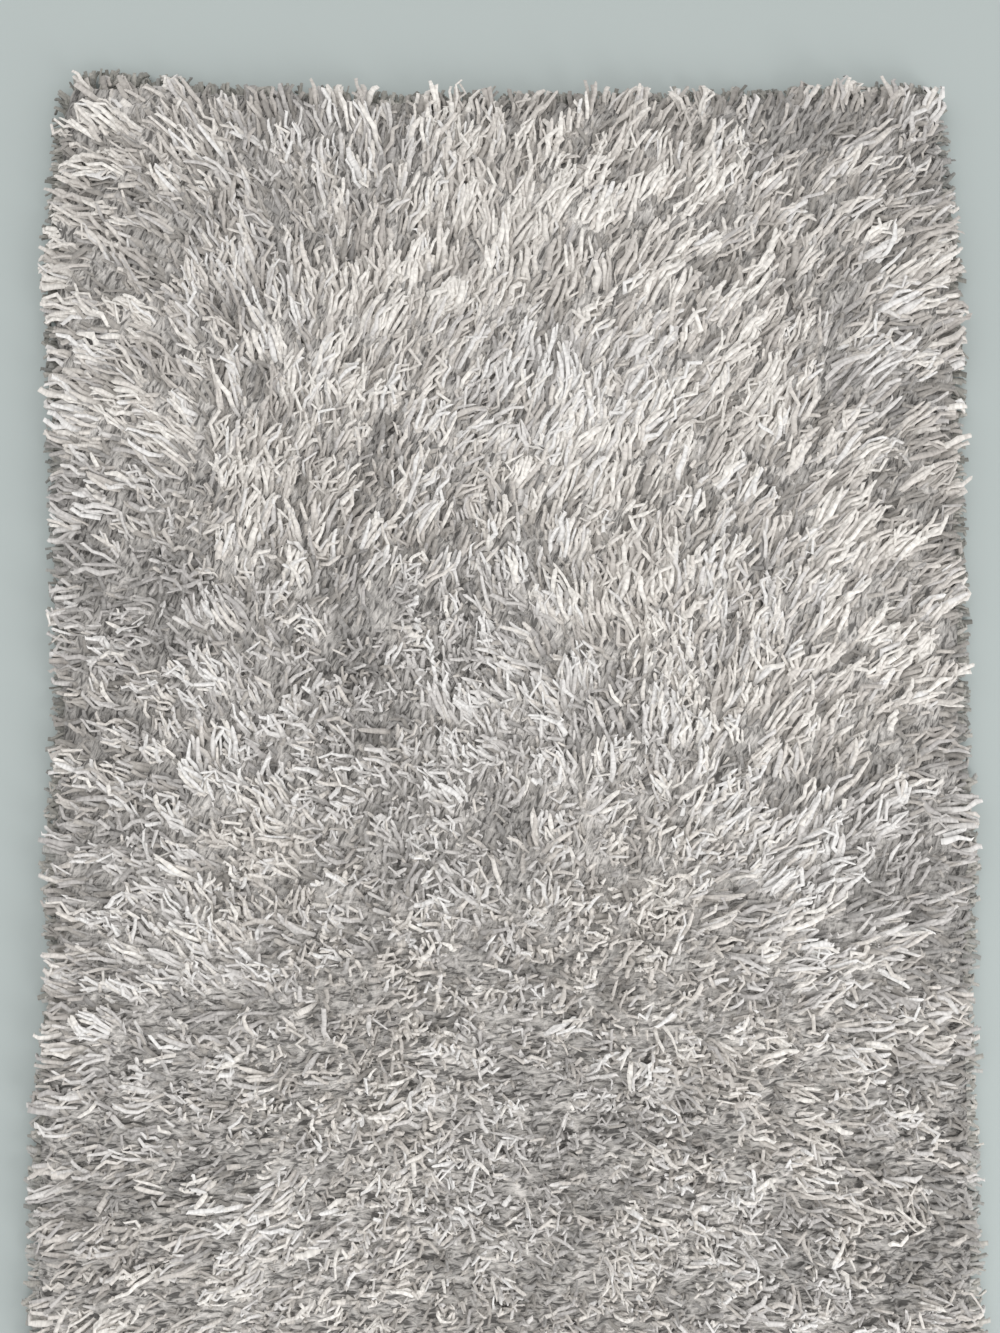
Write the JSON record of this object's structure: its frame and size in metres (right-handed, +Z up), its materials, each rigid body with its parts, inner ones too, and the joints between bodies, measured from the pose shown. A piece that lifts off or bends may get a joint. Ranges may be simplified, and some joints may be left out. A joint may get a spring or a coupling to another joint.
{
  "type": "shag rug",
  "caption": "Rectangular shag rug lying flat, its long greige and cream pile leaning in combed patches and hanging over the edges.",
  "frame": {"origin": "on the surface that the rug rests on, under the middle of its bounding box", "axes": "+Y along the rug's length towards the end that the picture shows, +X across its width, +Z up out of the pile"},
  "size_m": [0.6997, 1.4, 0.03],
  "materials": {
    "pile_yarn": "matt long-pile yarn in greige",
    "cream_yarn": "slightly lustrous long-pile yarn in cream",
    "backing_cloth": "plain-woven backing cloth, matt"
  },
  "bodies": {
    "root": {"shag_rug": "pile_yarn"}
  },
  "joints": []
}
